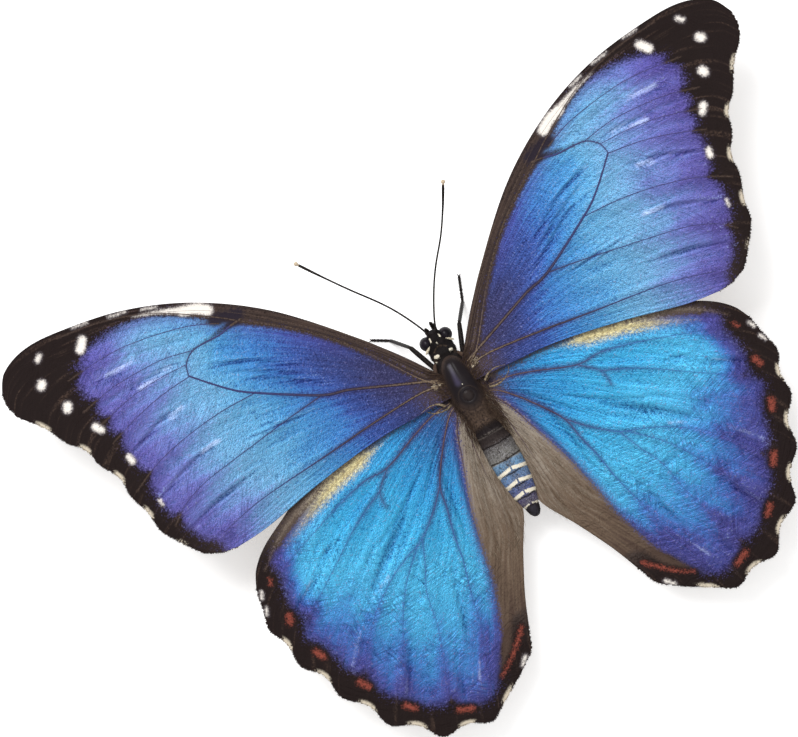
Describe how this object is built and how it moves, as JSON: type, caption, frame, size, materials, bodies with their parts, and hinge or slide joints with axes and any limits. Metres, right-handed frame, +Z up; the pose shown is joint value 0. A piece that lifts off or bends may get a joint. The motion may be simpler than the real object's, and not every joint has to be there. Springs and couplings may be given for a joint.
{
  "type": "blue morpho butterfly",
  "caption": "Life-size blue morpho butterfly at rest, wings spread to show the metallic blue upper sides with dark scalloped borders.",
  "frame": {"origin": "on the floor, under the middle of the whole spread", "axes": "+Y forward along the body towards the head, +X to the butterfly's right, +Z up"},
  "size_m": [0.1218, 0.0826, 0.0165],
  "materials": {
    "wing": "metallic blue scales with a satin sheen over the upper side, near-black borders, brown underside with ringed eyespots",
    "fur": "short dark brown scale hair with cream bands, matt",
    "eye": "glossy dark facets",
    "limb": "dark horn-like shell with fine scales, satin"
  },
  "bodies": {
    "root": {"thorax": "fur", "collar": "fur", "head": "fur", "abdomen": "fur", "proboscis": "limb", "forewing_right": "wing", "forewing_left": "wing", "hindwing_right": "wing", "hindwing_left": "wing", "eye_right": "eye", "eye_left": "eye", "antenna_right": "limb", "antenna_left": "limb", "palp_right": "fur", "palp_left": "fur", "foreleg_right": "limb", "foreleg_left": "limb", "middle_leg_right": "limb", "middle_leg_left": "limb", "hind_leg_right": "limb", "hind_leg_left": "limb"}
  },
  "joints": []
}
